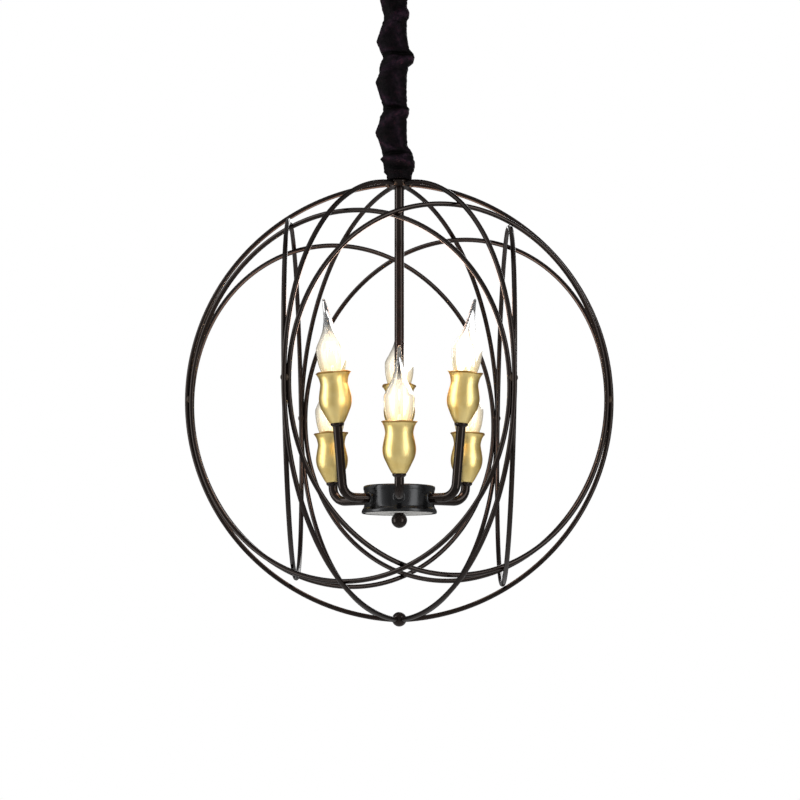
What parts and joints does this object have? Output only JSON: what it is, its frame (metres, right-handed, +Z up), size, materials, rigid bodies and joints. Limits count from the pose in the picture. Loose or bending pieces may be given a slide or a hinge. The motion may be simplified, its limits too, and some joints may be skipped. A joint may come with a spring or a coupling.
{
  "type": "orb chandelier",
  "caption": "Open wire orb of crossed ribs and hoops round upturned arms with tulip cups and flame-tip bulbs, hung from a canopy by a chain in a gathered fabric sleeve.",
  "frame": {"origin": "middle of the crossbar's top face, on the ceiling plane", "axes": "+Z up; +X to the right and -Y towards the viewer as pictured; a low arm points along -Y"},
  "size_m": [0.3556, 0.3084, 0.5831],
  "materials": {
    "bronze_black": "satin dark bronze lacquer",
    "cup_gold": "satin brushed gold",
    "clear_glass": "clear blown glass",
    "base_brass": "plain rolled brass with glass stem",
    "steel": "zinc-plated steel",
    "cover_white": "satin white enamel",
    "socket_black": "moulded phenolic",
    "earth_green": "green dyed zinc",
    "sleeve_velvet": "gathered black velvet"
  },
  "bodies": {
    "ceiling": {"crossbar": "steel", "crossbar_nipple": "steel", "nipple_lock_nut": "steel", "ground_screw": "earth_green", "ceiling_canopy": "bronze_black", "canopy_loop_nut": "bronze_black", "canopy_loop": "bronze_black"},
    "top_link": {"chain_link_top": "bronze_black"},
    "chain": {"chain_links_middle": "bronze_black", "fabric_sleeve": "sleeve_velvet"},
    "bottom_link": {"chain_link_bottom": "bronze_black"},
    "chandelier": {"hanging_loop": "bronze_black", "loop_coupling": "bronze_black", "cage_top_collar": "bronze_black", "cage_bottom_ball": "bronze_black", "equator_welds": "bronze_black", "centre_rod": "bronze_black", "hub_shell": "bronze_black", "hub_cover": "cover_white", "hub_lock_nuts": "steel", "hub_finial": "bronze_black", "cup_seats": "bronze_black", "lamp_sockets": "socket_black", "arm_lock_nuts": "steel", "meridian_rib_1": "bronze_black", "meridian_rib_2": "bronze_black", "meridian_rib_3": "bronze_black", "meridian_rib_4": "bronze_black", "meridian_rib_5": "bronze_black", "meridian_rib_6": "bronze_black", "side_hoop_1": "bronze_black", "side_hoop_2": "bronze_black", "side_hoop_3": "bronze_black", "side_hoop_4": "bronze_black", "side_hoop_5": "bronze_black", "side_hoop_6": "bronze_black", "candle_arm_1": "bronze_black", "candle_arm_2": "bronze_black", "candle_arm_3": "bronze_black", "candle_arm_4": "bronze_black", "candle_arm_5": "bronze_black", "candle_arm_6": "bronze_black", "candle_cup_1": "cup_gold", "candle_cup_2": "cup_gold", "candle_cup_3": "cup_gold", "candle_cup_4": "cup_gold", "candle_cup_5": "cup_gold", "candle_cup_6": "cup_gold"},
    "bulb_1": {"bulb_glass_1": "clear_glass", "bulb_base_1": "base_brass"},
    "bulb_2": {"bulb_glass_2": "clear_glass", "bulb_base_2": "base_brass"},
    "bulb_3": {"bulb_glass_3": "clear_glass", "bulb_base_3": "base_brass"},
    "bulb_4": {"bulb_glass_4": "clear_glass", "bulb_base_4": "base_brass"},
    "bulb_5": {"bulb_glass_5": "clear_glass", "bulb_base_5": "base_brass"},
    "bulb_6": {"bulb_glass_6": "clear_glass", "bulb_base_6": "base_brass"}
  },
  "joints": [
    {"name": "canopy_loop_swing", "type": "hinge", "parent": "ceiling", "child": "top_link", "pos_m": [0, 0, -0.0678], "axis": [0, 1, 0], "range_deg": [-14, 14], "deforming": ["fabric_sleeve"]},
    {"name": "top_link_swing", "type": "hinge", "parent": "top_link", "child": "chain", "pos_m": [0, 0, -0.0875], "axis": [1, 0, 0], "range_deg": [-14, 14], "deforming": ["fabric_sleeve"]},
    {"name": "bottom_link_swing", "type": "hinge", "parent": "chain", "child": "bottom_link", "pos_m": [0, 0, -0.1484], "axis": [0, 1, 0], "range_deg": [-14, 14], "deforming": ["fabric_sleeve"]},
    {"name": "hanging_loop_swing", "type": "hinge", "parent": "bottom_link", "child": "chandelier", "pos_m": [0, 0, -0.1687], "axis": [1, 0, 0], "range_deg": [-14, 14], "deforming": ["fabric_sleeve"]},
    {"name": "bulb_1_unscrew", "type": "hinge", "parent": "chandelier", "child": "bulb_1", "pos_m": [0.05577, 0.0322, -0.46236], "axis": [0.0453, 0.0262, 0.9986], "range_deg": [0, 1080]},
    {"name": "bulb_2_unscrew", "type": "hinge", "parent": "chandelier", "child": "bulb_2", "pos_m": [0, 0.0584, -0.41836], "axis": [0, 0.0958, 0.9954], "range_deg": [0, 1080]},
    {"name": "bulb_3_unscrew", "type": "hinge", "parent": "chandelier", "child": "bulb_3", "pos_m": [-0.05577, 0.0322, -0.46236], "axis": [-0.0453, 0.0262, 0.9986], "range_deg": [0, 1080]},
    {"name": "bulb_4_unscrew", "type": "hinge", "parent": "chandelier", "child": "bulb_4", "pos_m": [-0.05058, -0.0292, -0.41836], "axis": [-0.083, -0.0479, 0.9954], "range_deg": [0, 1080]},
    {"name": "bulb_5_unscrew", "type": "hinge", "parent": "chandelier", "child": "bulb_5", "pos_m": [0, -0.0644, -0.46236], "axis": [0, -0.0523, 0.9986], "range_deg": [0, 1080]},
    {"name": "bulb_6_unscrew", "type": "hinge", "parent": "chandelier", "child": "bulb_6", "pos_m": [0.05058, -0.0292, -0.41836], "axis": [0.083, -0.0479, 0.9954], "range_deg": [0, 1080]}
  ]
}
